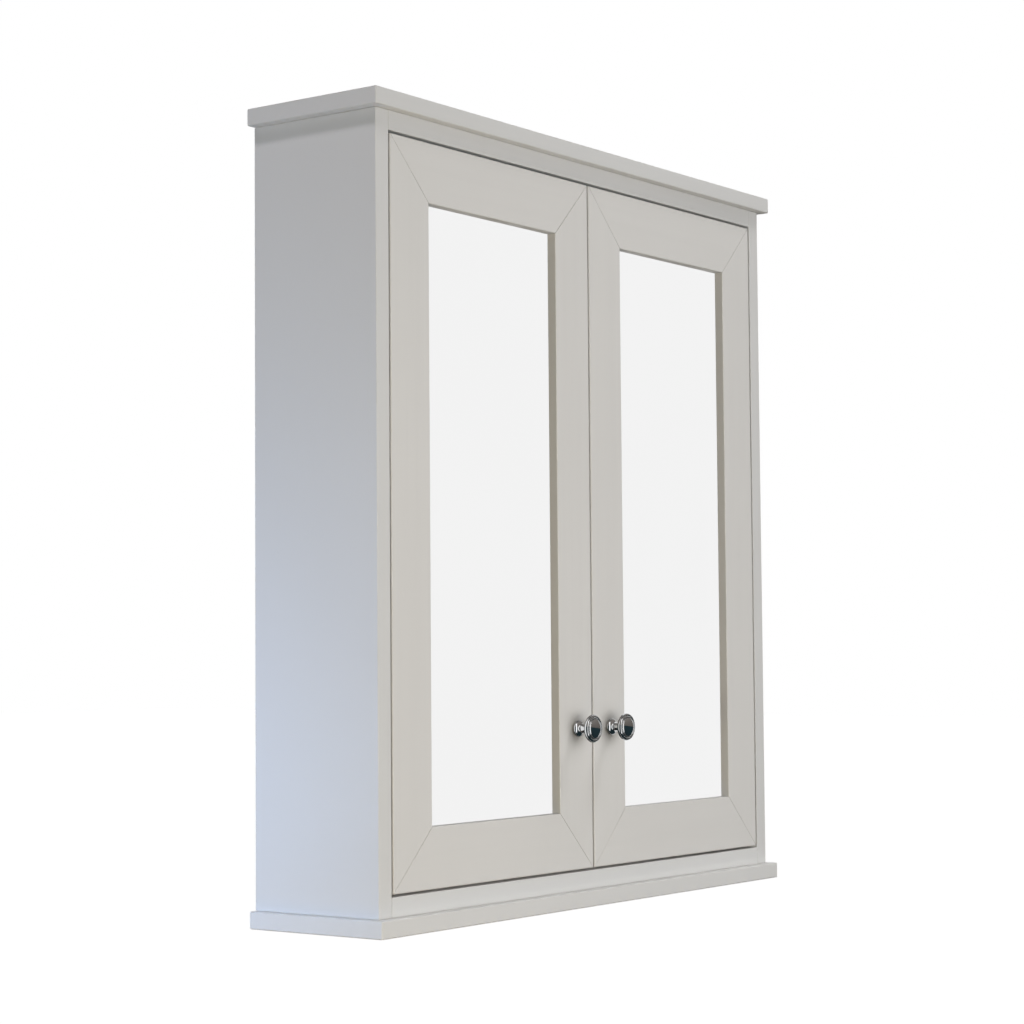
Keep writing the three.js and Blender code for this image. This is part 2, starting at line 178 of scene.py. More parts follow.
def paint(name, base, grain, roughness=0.42):
    """Satin spray paint: orange peel, faint brushed-out grain and softly burnished arrises."""
    s = Surface(name, base, roughness)
    clouds = s.noise(4.0, 3.0)
    peel = s.noise(520.0, 2.0, 0.45)
    dust = s.noise(1900.0, 1.0)
    layers = [(peel, 0.000010), (dust, 0.000002)]
    tone = s.blend(s.spread(clouds, 0.3, 0.7), scaled(base, 0.99), scaled(base, 1.008))
    if grain:
        streaks = s.noise(95.0, 5.0, 0.6, AXIS_STRETCH[grain], 0.3)
        tone = s.blend(s.spread(streaks, 0.40, 0.72, 0.0, 0.4), tone, scaled(base, 0.965))
        layers.insert(0, (streaks, 0.000016))
    wear = s.spread(s.noise(60.0, 4.0), 0.42, 0.66, 0.05, 0.45)
    rubbed = s.maths("MULTIPLY", s.attribute("arris"), wear)
    tone = s.blend(rubbed, tone, (base[0] * 0.93, base[1] * 0.91, base[2] * 0.87))
    s.colour(tone)
    handled = s.spread(s.noise(9.0, 4.0, 0.6), 0.35, 0.7, roughness - 0.05, roughness + 0.07)
    s.roughness(s.maths("SUBTRACT", handled, s.maths("MULTIPLY", s.attribute("arris"), 0.08)))
    s.bumps(*layers)
    return s.material


def polished(name, base, roughness, spread):
    """Bright plating: hairline polishing marks and a slight haze."""
    s = Surface(name, base, roughness, 1.0)
    haze = s.noise(55.0, 4.0, 0.6)
    hairs = s.noise(900.0, 3.0, 0.6, (1.0, 1.0, 0.12))
    s.colour(s.blend(s.spread(haze, 0.35, 0.7), base, scaled(base, 0.95)))
    s.roughness(s.spread(haze, 0.35, 0.75, roughness, roughness + spread))
    s.bumps((hairs, 0.0000012))
    return s.material


def stamped(name, base, roughness):
    """Satin nickel on pressed steel: rolling lines under the plating."""
    s = Surface(name, base, roughness, 0.6)
    rolled = s.noise(700.0, 4.0, 0.6, (1.0, 0.08, 1.0))
    stain = s.noise(120.0, 4.0)
    s.colour(s.blend(s.spread(stain, 0.35, 0.7), scaled(base, 1.04), scaled(base, 0.9)))
    s.roughness(s.spread(stain, 0.3, 0.7, roughness - 0.05, roughness + 0.1))
    s.bumps((rolled, 0.000006), (s.noise(2600.0, 2.0), 0.000002))
    return s.material


def zinced(name, base):
    """Zinc plating with a small spangle."""
    s = Surface(name, base, 0.38, 0.6)
    spangle = s.cells(420.0)
    value = s.nodes.new("ShaderNodeSeparateColor")
    s.links.new(spangle, value.inputs[0])
    flake = value.outputs[0]
    s.colour(s.blend(flake, scaled(base, 0.86), scaled(base, 1.08)))
    s.roughness(s.spread(flake, 0.0, 1.0, 0.3, 0.5))
    s.bumps((s.noise(1500.0, 3.0), 0.000006))
    return s.material


def fibreboard(name, base):
    """Bare fibreboard: fine fibres, darker specks and a soft fuzzy face."""
    s = Surface(name, base, 0.85, 0.0, 0.25)
    fibres = s.noise(480.0, 6.0, 0.7, (0.45, 1.0, 1.0), 1.2)
    specks = s.noise(1500.0, 2.0)
    tone = s.blend(s.spread(fibres, 0.3, 0.7), scaled(base, 0.82), scaled(base, 1.16))
    tone = s.blend(s.spread(specks, 0.6, 0.72, 0.0, 0.6), tone, scaled(base, 0.5))
    s.colour(s.blend(s.spread(s.noise(7.0, 3.0), 0.35, 0.65, 0.0, 0.3), tone, scaled(base, 0.9)))
    s.roughness(s.spread(fibres, 0.3, 0.7, 0.78, 0.94))
    s.bumps((fibres, 0.00009), (specks, 0.00003))
    return s.material


def hardboard(name, base):
    """Hardboard with the press screen's mesh on its face."""
    s = Surface(name, base, 0.6, 0.0, 0.35)
    mesh = s.maths("MULTIPLY", s.wave(260.0, "X"), s.wave(260.0, "Z"))
    fibres = s.noise(600.0, 5.0, 0.7, None, 0.8)
    tone = s.blend(s.spread(fibres, 0.3, 0.7), scaled(base, 0.8), scaled(base, 1.2))
    tone = s.blend(s.spread(mesh, 0.1, 0.8, 0.35, 0.0), tone, scaled(base, 0.55))
    s.colour(tone)
    s.roughness(s.spread(fibres, 0.3, 0.7, 0.5, 0.72))
    s.bumps((mesh, 0.00018), (fibres, 0.00004))
    return s.material


def silvering(name):
    """A silvered face: a clean reflection with the faintest float-glass unevenness."""
    base = (0.893, 0.893, 0.893)
    s = Surface(name, base, 0.0, 1.0)
    s.colour(s.blend(s.spread(s.noise(6.0, 2.0), 0.35, 0.65), base, scaled(base, 0.996)))
    s.bumps((s.noise(5.0, 1.0), 0.000006))
    return s.material


def glass_edge(name):
    base = (0.32, 0.45, 0.40)
    s = Surface(name, base, 0.25, 0.0, 0.6)
    ground = s.noise(900.0, 3.0, 0.6, (1.0, 0.2, 1.0))
    s.colour(s.blend(ground, scaled(base, 0.8), scaled(base, 1.2)))
    s.roughness(s.spread(ground, 0.3, 0.7, 0.15, 0.4))
    s.bumps((ground, 0.00002))
    return s.material


def back_paint(name):
    base = (0.30, 0.33, 0.33)
    s = Surface(name, base, 0.5)
    runs = s.noise(40.0, 4.0, 0.6, (1.0, 1.0, 0.2))
    s.colour(s.blend(s.spread(runs, 0.3, 0.7), scaled(base, 0.88), scaled(base, 1.1)))
    s.roughness(s.spread(runs, 0.3, 0.7, 0.42, 0.6))
    s.bumps((runs, 0.00003))
    return s.material


def moulded(name, base, roughness):
    """Moulded plastic with a fine spark-eroded grain."""
    s = Surface(name, base, roughness)
    grain = s.noise(2400.0, 2.0)
    flow = s.noise(90.0, 3.0, 0.5, None, 1.5)
    s.colour(s.blend(s.spread(flow, 0.3, 0.7), scaled(base, 0.97), scaled(base, 1.02)))
    s.roughness(s.spread(grain, 0.3, 0.7, roughness - 0.06, roughness + 0.08))
    s.bumps((grain, 0.000012), (flow, 0.00001))
    return s.material


def pressed_powder(name, base):
    """Sintered ferrite: a matt dark grey with bright specks."""
    s = Surface(name, base, 0.6, 0.0, 0.6)
    grit = s.noise(1800.0, 4.0, 0.7)
    s.colour(s.blend(s.spread(grit, 0.6, 0.75), base, scaled(base, 2.2)))
    s.roughness(s.spread(grit, 0.3, 0.7, 0.45, 0.75))
    s.bumps((grit, 0.00002))
    return s.material


CARCASS_PAINT = (0.675, 0.67, 0.657)
DOOR_PAINT = (0.70, 0.685, 0.66)
panel_paint = paint("panel_paint", CARCASS_PAINT, None)
board_paint = paint("board_paint", CARCASS_PAINT, "x")
# Painted light: a copy of the board paint made 4 percent lighter for the base board and the bottom
# panel. It stands in for light that falls short on the lowest boards; the real cabinet has one paint.
floor_paint = paint("floor_paint", scaled(CARCASS_PAINT, 1.04), "x")
stile_paint = paint("stile_paint", DOOR_PAINT, "z")
rail_paint = paint("rail_paint", DOOR_PAINT, "x")
chrome = polished("chrome", (0.80, 0.81, 0.82), 0.03, 0.05)
nickel = stamped("nickel", (0.62, 0.61, 0.58), 0.27)
zinc = zinced("zinc_plate", (0.56, 0.58, 0.61))
raw_board = fibreboard("raw_board", (0.36, 0.23, 0.115))
backing_board = hardboard("backing_board", (0.25, 0.155, 0.085))
mirror_face = silvering("mirror_face")
mirror_edge = glass_edge("mirror_edge")
mirror_back = back_paint("mirror_back")
white_plastic = moulded("white_plastic", (0.78, 0.77, 0.73), 0.42)
ferrite = pressed_powder("ferrite", (0.035, 0.035, 0.04))


# ---------------------------------------------------------------- mesh building
def piece(name, bm, materials, body, stands_for=(), sharp=SHARP):
    """Makes an object of a bmesh and gives it to the frame."""
    mesh = bpy.data.meshes.new(name)
    bmesh.ops.recalc_face_normals(bm, faces=bm.faces[:])
    bm.to_mesh(mesh)
    bm.free()
    for material in materials:
        mesh.materials.append(material)
    obj = bpy.data.objects.new(name, mesh)
    scene.collection.objects.link(obj)
    finish_shading(obj, sharp)
    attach(obj, body)
    if stands_for:
        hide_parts(*stands_for)
    return obj


def finish_shading(obj, sharp=SHARP):
    """Smooth shading that keeps the edges sharper than the angle."""
    mesh = obj.data
    mesh.polygons.foreach_set("use_smooth", [True] * len(mesh.polygons))
    mesh.set_sharp_from_angle(angle=math.radians(sharp))
    if "normals" not in obj.modifiers:
        weighted = obj.modifiers.new("normals", "WEIGHTED_NORMAL")
        weighted.keep_sharp = True
        weighted.weight = 100


def arris_layer(bm):
    return bm.verts.layers.float.get("arris") or bm.verts.layers.float.new("arris")


def rounded_box(low, high, radius, segments=4):
    """A board with softened arrises. Its 'arris' attribute is 1 on the rounded strips only."""
    bm = bmesh.new()
    bmesh.ops.create_cube(bm, size=1.0)
    size = high - low
    for vert in bm.verts:
        vert.co = Vector((low[i] + (vert.co[i] + 0.5) * size[i] for i in range(3)))
    layer = arris_layer(bm)
    made = bmesh.ops.bevel(
        bm, geom=bm.edges[:], offset=radius, segments=segments, profile=0.5, affect="EDGES"
    )
    rounded = set(made["faces"])
    for vert in bm.verts:
        vert[layer] = 1.0 if all(f in rounded for f in vert.link_faces) else 0.0
    return bm


def lathe(profile, segments, centre, axis="y"):
    """A turned piece. The profile is (radius, distance along the axis); it may start or end on it."""
    bm = bmesh.new()
    arris_layer(bm)
    rings = []
    for radius, along in profile:
        if radius < 1e-7:
            rings.append([bm.verts.new(turned_point(0, along, 0, centre, axis))])
        else:
            rings.append([
                bm.verts.new(turned_point(radius, along, 2 * math.pi * i / segments, centre, axis))
                for i in range(segments)
            ])
    for ring, after in zip(rings, rings[1:]):
        if len(ring) == 1 and len(after) == 1:
            continue
        for i in range(segments):
            j = (i + 1) % segments
            corners = [
                ring[i % len(ring)], ring[j % len(ring)],
                after[j % len(after)], after[i % len(after)],
            ]
            unique = []
            for corner in corners:
                if corner not in unique:
                    unique.append(corner)
            bm.faces.new(unique)
    return bm


def turned_point(radius, along, angle, centre, axis):
    """A point of a turned piece, at an angle round its axis."""
    a, b = radius * math.cos(angle), radius * math.sin(angle)
    offset = {"x": (along, a, b), "y": (a, along, b), "z": (a, b, along)}[axis]
    return centre + Vector(offset)


def smooth_profile(points, steps):
    """Catmull-Rom through the points, for a turned shape with no facets."""
    out = []
    for i in range(len(points) - 1):
        p0 = points[max(i - 1, 0)]
        p1, p2 = points[i], points[i + 1]
        p3 = points[min(i + 2, len(points) - 1)]
        for k in range(steps):
            t = k / steps
            out.append(tuple(
                0.5 * (
                    2 * p1[c]
                    + (p2[c] - p0[c]) * t
                    + (2 * p0[c] - 5 * p1[c] + 4 * p2[c] - p3[c]) * t * t
                    + (3 * p1[c] - p0[c] - 3 * p2[c] + p3[c]) * t ** 3
                )
                for c in (0, 1)
            ))
    return out + [points[-1]]


def carve(obj, tools):
    """Cuts closed bmeshes out of an object."""
    for tool in tools:
        bmesh.ops.recalc_face_normals(tool, faces=tool.faces[:])
        mesh = bpy.data.meshes.new("tool")
        tool.to_mesh(mesh)
        tool.free()
        cutter = bpy.data.objects.new("tool", mesh)
        scene.collection.objects.link(cutter)
        modifier = obj.modifiers.new("cut", "BOOLEAN")
        modifier.operation = "DIFFERENCE"
        modifier.solver = "EXACT"
        modifier.object = cutter
        weighted = obj.modifiers.get("normals")
        if weighted:
            weighted.show_viewport = False
        bpy.context.view_layer.update()
        depsgraph = bpy.context.evaluated_depsgraph_get()
        made = bpy.data.meshes.new_from_object(obj.evaluated_get(depsgraph))
        obj.modifiers.remove(modifier)
        if weighted:
            weighted.show_viewport = True
        old, name = obj.data, obj.data.name
        obj.data = made
        bpy.data.meshes.remove(old)
        made.name = name
        bpy.data.objects.remove(cutter)
        bpy.data.meshes.remove(mesh)
    finish_shading(obj)


# ---------------------------------------------------------------- carcass boards
# Each board's paint, and the radius of its arrises in millimetres.
BOARD_LOOKS = {
    "cap_board": (board_paint, 1.3),
    # painted light: the base board takes the lightened copy of the board paint
    "base_board": (floor_paint, 1.3),
    "top_panel": (board_paint, 0.5),
    # painted light: the bottom panel takes the lightened copy of the board paint
    "bottom_panel": (floor_paint, 0.5),
    "back_panel": (panel_paint, 0.3),
    "lower_rail": (raw_board, 0.4),
    "shelf_lower": (board_paint, 1.2),
    "shelf_upper": (board_paint, 1.2),
}
for node, (material, radius) in BOARD_LOOKS.items():
    board = rounded_box(*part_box(node), radius * MM)
    piece(f"{node}_finished", board, [material], "carcass", [node])

PIN_HOLE = 2.6 * MM  # radius of a shelf-pin hole
PIN_HOLE_DEPTH = 10 * MM
PIN_PITCH = 32 * MM
PIN_ROWS = range(-2, 3)  # holes above and below the one in use
COUNTERSINK = 0.35 * MM


def pin_centres(side):
    """The middle hole of each group, found from the shelf pins' own boxes."""
    for level in LEVELS:
        for row in ("front", "back"):
            low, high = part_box(f"shelf_pin_{level}_{side}_{row}")
            yield (low + high) / 2


def side_panel(side):
    """A side panel with groups of shelf-pin holes, each lightly countersunk."""
    node = f"side_panel_{side}"
    low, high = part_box(node)
    inner, into = (high.x, -1) if side == "left" else (low.x, 1)
    board = rounded_box(low, high, 0.8 * MM)
    obj = piece(f"{node}_finished", board, [panel_paint], "carcass", [node])
    tools = []
    for middle in pin_centres(side):
        for step in PIN_ROWS:
            centre = Vector((inner, middle.y, middle.z + step * PIN_PITCH))
            profile = [
                (0, -into * MM),
                (PIN_HOLE + COUNTERSINK + MM, -into * MM),
                (PIN_HOLE, into * COUNTERSINK),
                (PIN_HOLE, into * PIN_HOLE_DEPTH),
                (0, into * PIN_HOLE_DEPTH),
            ]
            tools.append(lathe(profile, 24, centre, "x"))
    carve(obj, tools)


for side in SIDES:
    side_panel(side)

# ---------------------------------------------------------------- door frames
FRAME_WIDTH = 56 * MM
REBATE = 9 * MM
MITRE_RELIEF = 0.2 * MM
OUTER_ARRIS = 1.5 * MM
INNER_ARRIS = 1.0 * MM
BACK_ARRIS = 0.8 * MM
LIP_ARRIS = 0.4 * MM
ARC_STEPS = 6
END_CHAMFER = 0.2 * MM
# How near to each side of the section a point is moved in at a mitre's end.
NEAR_EDGE = 8 * MM
NEAR_MIRROR = 3 * MM
NEAR_FACE = 2.5 * MM
NEAR_BACK = 2 * MM
CUP_SETBACK = 22.5 * MM  # from the door's edge to the middle of a hinge cup
CUP_RADIUS = 17.5 * MM
CUP_DEPTH = 13.5 * MM
KNOB_BORE = 2.5 * MM


def arc(centre, radius, start, end):
    """Points of a quarter turn, with their arris value: 0 at its ends and 1 between them."""
    points = []
    for k in range(ARC_STEPS + 1):
        angle = math.radians(start + (end - start) * k / ARC_STEPS)
        value = 0.0 if k in (0, ARC_STEPS) else 1.0
        x, y = radius * math.cos(angle), radius * math.sin(angle)
        points.append((centre[0] + x, centre[1] + y, value))
    return points


def member_profile(depth, lip):
    """The section of a stile or rail, as (in from the door's edge, behind its face, arris)."""
    web = FRAME_WIDTH - REBATE
    return (
        arc((OUTER_ARRIS, OUTER_ARRIS), OUTER_ARRIS, 180, 270)
        + arc((FRAME_WIDTH - INNER_ARRIS, INNER_ARRIS), INNER_ARRIS, 270, 360)
        + [(FRAME_WIDTH, lip, 0.0), (web, lip, 0.0)]
        + arc((web - LIP_ARRIS, depth - LIP_ARRIS), LIP_ARRIS, 0, 90)
        + arc((BACK_ARRIS, depth - BACK_ARRIS), BACK_ARRIS, 90, 180)
    )


def chamfered(inward, back, lip):
    """Moves a point of the section in by the chamfer, away from the side that it is near."""
    if inward < NEAR_EDGE:
        inward += END_CHAMFER
    if inward > FRAME_WIDTH - NEAR_MIRROR:
        inward -= END_CHAMFER
    if back < NEAR_FACE:
        back += END_CHAMFER
    elif back > lip + NEAR_BACK:
        back -= END_CHAMFER
    return inward, back


def door_member(a, b, at, front, depth, lip):
    """Sweeps the section from mitre to mitre. 'at' turns (along, inward) into (x, z)."""
    bm = bmesh.new()
    layer = arris_layer(bm)
    profile = member_profile(depth, lip)
    rings = []
    for end, along_step in ((0, 0.0), (0, END_CHAMFER), (1, END_CHAMFER), (1, 0.0)):
        ring = []
        for inward, back, value in profile:
            if along_step == 0.0:
                inward, back = chamfered(inward, back, lip)
            start = a + MITRE_RELIEF + inward + along_step
            stop = b - MITRE_RELIEF - inward - along_step
            x, z = at(start if end == 0 else stop, inward)
            vert = bm.verts.new((x, front + back, z))
            vert[layer] = value
            ring.append(vert)
        rings.append(ring)
    for ring, after in zip(rings, rings[1:]):
        for i in range(len(ring)):
            j = (i + 1) % len(ring)
            bm.faces.new([ring[i], ring[j], after[j], after[i]])
    bm.faces.new(list(reversed(rings[0])))
    bm.faces.new(rings[-1])
    return bm


def rod(radius, low, high, centre, segments):
    """A plain cylinder along Y."""
    return lathe([(0, low), (radius, low), (radius, high), (0, high)], segments, centre)


def door(side):
    """A mitred frame with its mirror and knob, bored for the hinge cups and the knob's screw."""
    body = f"door_{side}"
    outer_box, lock_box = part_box(f"hinge_stile_{side}"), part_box(f"lock_stile_{side}")
    mirror_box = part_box(f"mirror_{side}")
    front, depth = outer_box[0].y, outer_box[1].y - outer_box[0].y
    lip = mirror_box[0].y - front
    bottom, top = outer_box[0].z, outer_box[1].z
    if side == "left":
        outer, inner, turn = outer_box[0].x, lock_box[1].x, 1
    else:
        outer, inner, turn = outer_box[1].x, lock_box[0].x, -1
    left, right = min(outer, inner), max(outer, inner)
    members = {
        "hinge_stile": (bottom, top, lambda s, u: (outer + turn * u, s), stile_paint),
        "lock_stile": (bottom, top, lambda s, u: (inner - turn * u, s), stile_paint),
        "top_rail": (left, right, lambda s, u: (s, top - u), rail_paint),
        "bottom_rail": (left, right, lambda s, u: (s, bottom + u), rail_paint),
    }
    made = {}
    for kind, (a, b, at, material) in members.items():
        node = f"{kind}_{side}"
        bm = door_member(a, b, at, front, depth, lip)
        made[kind] = piece(f"{node}_finished", bm, [material], body, [node])
    back = front + depth
    cups = []
    for level in LEVELS:
        low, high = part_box(f"hinge_pin_{side}_{level}")
        centre = Vector((outer + turn * CUP_SETBACK, 0, (low.z + high.z) / 2))
        cups.append(rod(CUP_RADIUS, back - CUP_DEPTH, back + MM, centre, 96))
    carve(made["hinge_stile"], cups)
    low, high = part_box(f"knob_{side}")
    centre = Vector(((low.x + high.x) / 2, 0, (low.z + high.z) / 2))
    carve(made["lock_stile"], [rod(KNOB_BORE, front - MM, back + MM, centre, 32)])
    pane(side, body)
    knob(side, body, front)


def pane(side, body):
    """The mirror, its painted back and ground edges, and the hardboard behind it."""
    node = f"mirror_{side}"
    bm = rounded_box(*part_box(node), 0.5 * MM, 2)
    bm.normal_update()
    for face in bm.faces:
        flat = abs(face.normal.y) > 0.99
        face.material_index = 0 if flat and face.normal.y < 0 else (2 if flat else 1)
    finishes = [mirror_face, mirror_edge, mirror_back]
    piece(f"{node}_finished", bm, finishes, body, [node])
    node = f"mirror_backing_{side}"
    bm = rounded_box(*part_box(node), 0.3 * MM, 2)
    piece(f"{node}_finished", bm, [backing_board], body, [node])


def knob(side, body, front):
    """A turned knob: a small foot, a collar, a waisted stem and a stepped head round a low dome."""
    low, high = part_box(f"knob_{side}")
    centre = Vector(((low.x + high.x) / 2, front, (low.z + high.z) / 2))
    # Each run is (radius, distance out from the door's face) in millimetres.
    foot = [(0.0, 8.0), (2.2, 8.0), (2.2, 0.0), (3.2, 0.0), (3.2, 2.6), (7.6, 2.6), (7.9, 2.72)]
    collar = [
        (8.0, 3.0), (8.0, 3.8), (7.7, 4.35), (7.05, 5.05),
        (6.05, 5.75), (5.0, 6.4), (4.3, 7.2), (3.9, 8.6),
    ]
    stem = [
        (3.9, 8.6), (3.8, 11.1), (4.05, 12.9), (4.8, 14.6),
        (6.5, 15.9), (8.8, 16.7), (11.0, 17.3), (12.4, 17.9),
    ]
    rim = [
        (12.4, 17.9), (13.1, 18.7), (13.5, 19.9), (13.4, 21.0),
        (12.9, 21.95), (12.2, 22.6), (11.5, 22.75), (11.1, 22.5),
    ]
    ring = [
        (11.1, 22.5), (10.95, 22.35), (10.7, 22.5), (10.4, 22.95),
        (10.05, 23.15), (9.7, 23.05), (9.4, 22.9),
    ]
    dome = [(9.4, 22.9), (8.9, 23.3), (7.1, 24.3), (5.0, 25.0), (2.7, 25.45), (1.2, 25.57), (0.0, 25.6)]
    profile = foot
    for run in (collar, stem, rim, ring):
        profile += smooth_profile(run, 3)[:-1]
    profile += smooth_profile(dome, 3)
    bm = lathe([(r * MM, -out * MM) for r, out in profile], 96, centre)
    node = f"knob_{side}"
    piece(f"{node}_finished", bm, [chrome], body, [node], 50.0)


for side in SIDES:
    door(side)

# ---------------------------------------------------------------- hardware kept from the frame
# The finish of each node whose name starts so, and the width of its edges' bevel in millimetres.
HARDWARE_LOOKS = {
    "hanging_rail": (raw_board, 0.4),
    "catch_housing": (white_plastic, 0.6),
    "catch_magnet": (ferrite, 0.3),
    "strike_plate": (zinc, 0.2),
    "wall_hanger": (zinc, 0.25),
    "hinge_cup": (nickel, 0.25),
    "hinge_pin": (nickel, 0.15),
    "hinge_arm": (nickel, 0.4),
    "hinge_plate": (nickel, 0.4),
}


def refine(obj, material, width):
    """Softens a frame node's edges and gives it its finish. Its own mesh stays as it is."""
    if not obj.material_slots:
        obj.data.materials.append(None)
    for slot in obj.material_slots:
        slot.link = "OBJECT"
        slot.material = material
    weld = obj.modifiers.new("weld", "WELD")
    weld.merge_threshold = 0.000002
    flat = obj.modifiers.new("flat", "DECIMATE")
    flat.decimate_type = "DISSOLVE"
    flat.angle_limit = math.radians(0.5)
    bevel = obj.modifiers.new("bevel", "BEVEL")
    bevel.width = width * MM
    bevel.segments = 3
    bevel.limit_method = "ANGLE"
    bevel.angle_limit = math.radians(40)
    bevel.harden_normals = False
    weighted = obj.modifiers.new("normals", "WEIGHTED_NORMAL")
    weighted.weight = 100
    weighted.keep_sharp = False


for node, obj in frame["nodes"].items():
    for start, (material, width) in HARDWARE_LOOKS.items():
        if node.startswith(start):
            refine(obj, material, width)

# ---------------------------------------------------------------- screws, shelf pins and mirror clips
HEAD_RISE = 0.42  # height of a pan head, against its radius
HEAD_RADIUS = {
    "cup": 3.6 * MM,
    "plate": 4.0 * MM,
    "clamp": 3.6 * MM,
    "adjuster": 2.6 * MM,
    "knob": 4.0 * MM,
    "strike": 3.0 * MM,
    "hanger": 2.15 * MM,
    "clip": 2.4 * MM,
}
FLANGE_REACH = 9.5 * MM  # from the middle of a hinge cup to its screws
FLANGE_SPREAD = 24 * MM
PLATE_THICK = 2.5 * MM
PLATE_SPREAD = 16 * MM
ARM_FACE = 13 * MM  # from the side panel to the arm's face on its plate
HANGER_SPREAD = 25 * MM
CLIP_INSET = 0.5 * MM  # from the frame's back to the backing's back
CLIP_HALF = 5.0 * MM


def phillips_head():
    """A pan head of radius 1 on the plane z = 0, with a cross recess. Made once and copied."""
    skirt = [(0.0, -0.15), (1.0, -0.15), (1.0, 0.08)]
    domed = [(0.96, 0.2), (0.84, 0.31), (0.6, 0.39), (0.3, HEAD_RISE)]
    profile = smooth_profile(skirt, 1) + smooth_profile(domed, 2) + [(0.0, HEAD_RISE)]
    bm = lathe(profile, 40, Vector(), "z")
    bmesh.ops.recalc_face_normals(bm, faces=bm.faces[:])
    mesh = bpy.data.meshes.new("screw_head")
    bm.to_mesh(mesh)
    bm.free()
    head = bpy.data.objects.new("screw_head", mesh)
    scene.collection.objects.link(head)
    slots = []
    for half_x, half_y in ((0.6, 0.13), (0.13, 0.6)):
        slot = bmesh.new()
        bmesh.ops.create_cube(slot, size=2.0)
        for vert in slot.verts:
            deep = vert.co.z < 0
            narrow = 0.62 if deep else 1.0
            x, y = vert.co.x * half_x * narrow, vert.co.y * half_y * narrow
            vert.co = Vector((x, y, 0.1 if deep else 1.0))
        slots.append(slot)
    carve(head, slots)
    made = head.data.copy()
    bpy.data.objects.remove(head)
    return made


def screws(name, places, material, body, stands_for=(), shank=None):
    """One object of several screw heads. Each place is a centre, the way it faces and its radius."""
    bm = shank or bmesh.new()
    for count, (centre, facing, radius) in enumerate(places):
        start = len(bm.verts)
        bm.from_mesh(head_mesh)
        bm.verts.ensure_lookup_table()
        spin = Matrix.Rotation(0.7 + 1.9 * count, 4, "Z")
        turn = Vector(facing).to_track_quat("Z", "Y").to_matrix().to_4x4()
        move = Matrix.Translation(centre) @ turn @ spin @ Matrix.Scale(radius, 4)
        for vert in bm.verts[start:]:
            vert.co = move @ vert.co
    arris_layer(bm)
    return piece(name, bm, [material], body, stands_for)


head_mesh = phillips_head()


def inward(side):
    """The way from a side panel towards the middle, along X."""
    return 1 if side == "left" else -1


def inner_face(side):
    """The inner face of a side panel, along X."""
    low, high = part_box(f"side_panel_{side}")
    return high.x if side == "left" else low.x


def hinge_screws(side, level):
    """Two screws in the hinge cup's flange, two in the plate and two in the arm."""
    into = inward(side)
    cup_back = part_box(f"hinge_cup_{side}_{level}")[1].y
    pin_low, pin_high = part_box(f"hinge_pin_{side}_{level}")
    plate_low, plate_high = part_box(f"hinge_plate_{side}_{level}")
    door_low, door_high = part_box(f"hinge_stile_{side}")
    z = (pin_low.z + pin_high.z) / 2
    flange = (door_low if side == "left" else door_high).x + into * (CUP_SETBACK + FLANGE_REACH)
    places = [
        (Vector((flange, cup_back, z + up * FLANGE_SPREAD)), (0, 1, 0), HEAD_RADIUS["cup"])
        for up in (-1, 1)
    ]
    screws(f"cup_screws_{side}_{level}", places, nickel, f"door_{side}")
    wall = (plate_low if side == "left" else plate_high).x
    wing = Vector((wall + into * PLATE_THICK, (plate_low.y + plate_high.y) / 2, z))
    sideways = (into, 0, 0)
    places = [
        (wing + Vector((0, 0, up * PLATE_SPREAD)), sideways, HEAD_RADIUS["plate"]) for up in (-1, 1)
    ]
    tail = wall + into * ARM_FACE
    clamp = Vector((tail, plate_high.y - 8 * MM, z))
    adjuster = Vector((tail, plate_low.y + 9 * MM, z))
    places.append((clamp, sideways, HEAD_RADIUS["clamp"]))
    places.append((adjuster, sideways, HEAD_RADIUS["adjuster"]))
    screws(f"plate_screws_{side}_{level}", places, nickel, "carcass")


def knob_screw(side):
    """The screw that holds a knob, with its shank through the stile and its head behind."""
    node = f"knob_screw_{side}"
    low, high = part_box(node)
    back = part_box(f"lock_stile_{side}")[1].y
    axis = Vector(((low.x + high.x) / 2, 0, (low.z + high.z) / 2))
    shank = rod(2 * MM, low.y, back + 0.2 * MM, axis, 24)
    places = [(axis + Vector((0, back + 0.3 * MM, 0)), (0, 1, 0), HEAD_RADIUS["knob"])]
    screws(f"{node}_finished", places, zinc, f"door_{side}", [node], shank)


def strike_screw(side):
    """The screw in a strike plate, with its head a little sunk."""
    low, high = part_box(f"strike_plate_{side}")
    centre = Vector(((low.x + high.x) / 2, high.y - 1.1 * MM, (low.z + high.z) / 2))
    places = [(centre, (0, 1, 0), HEAD_RADIUS["strike"])]
    screws(f"strike_screw_{side}", places, zinc, f"door_{side}")


def hanger_screws(side):
    """Two screws in a wall hanger, on either side of its keyhole."""
    low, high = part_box(f"wall_hanger_{side}")
    middle = (low + high) / 2
    places = []
    for step in (-1, 1):
        centre = Vector((middle.x + step * HANGER_SPREAD, low.y + 0.2 * MM, middle.z))
        places.append((centre, (0, 1, 0), HEAD_RADIUS["hanger"]))
    screws(f"hanger_screws_{side}", places, zinc, "carcass")


def shelf_pins(side):
    """Turned pins with a collar against the panel and a rounded end under the shelf."""
    # Each point is (radius, distance out from the panel's face) in millimetres.
    outline = [
        (0, -9.0), (1.9, -9.0), (2.4, -8.5), (2.4, 0.0),
        (3.3, 0.0), (3.5, 0.15), (3.5, 0.8), (3.3, 1.0),
        (3.0, 1.05), (3.0, 8.1), (2.75, 8.7), (2.2, 9.0), (0, 9.0),
    ]
    profile = [(r * MM, inward(side) * out * MM) for r, out in outline]
    for level in LEVELS:
        for row in ("front", "back"):
            node = f"shelf_pin_{level}_{side}_{row}"
            low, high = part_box(node)
            middle = (low + high) / 2
            bm = lathe(profile, 32, Vector((inner_face(side), middle.y, middle.z)), "x")
            piece(f"{node}_finished", bm, [nickel], "carcass", [node], 28.0)


